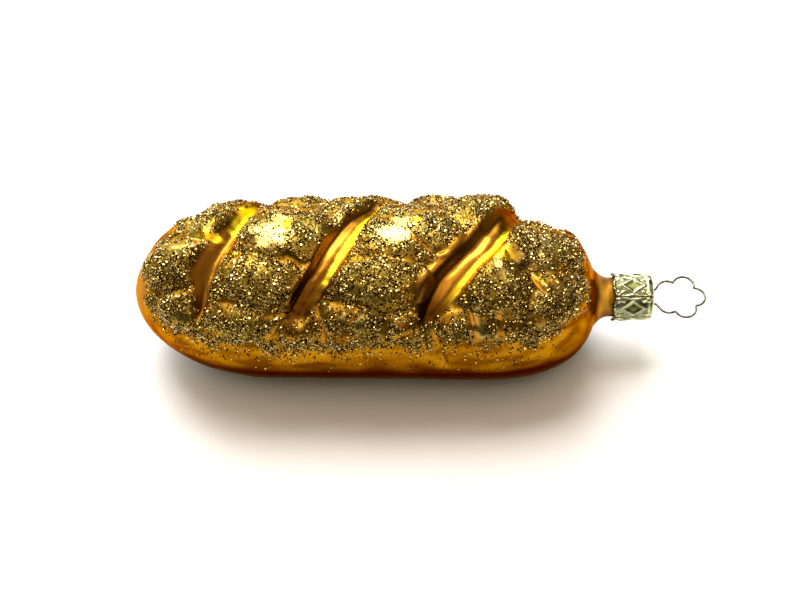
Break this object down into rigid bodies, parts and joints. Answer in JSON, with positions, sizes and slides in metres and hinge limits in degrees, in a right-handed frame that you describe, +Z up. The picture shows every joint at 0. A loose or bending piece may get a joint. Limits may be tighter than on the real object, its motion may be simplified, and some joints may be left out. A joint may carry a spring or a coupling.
{
  "type": "glass bread ornament",
  "caption": "Hollow blown-glass tree ornament shaped as a scored bread loaf, with a stamped metal cap and a bent wire hanging loop.",
  "frame": {"origin": "on the flat base, under the middle of the loaf's length", "axes": "+X along the loaf towards the metal cap, +Y to the back, +Z up from the table to the crown"},
  "size_m": [0.1387, 0.0432, 0.0415],
  "materials": {
    "amber_glass": "silvered inside, amber lacquer and gold glitter outside",
    "pale_gold_plate": "stamped, pale gold",
    "bright_wire": "bright drawn wire"
  },
  "bodies": {
    "root": {"glass_loaf": "amber_glass", "metal_cap": "pale_gold_plate", "wire_hanger": "bright_wire"}
  },
  "joints": []
}
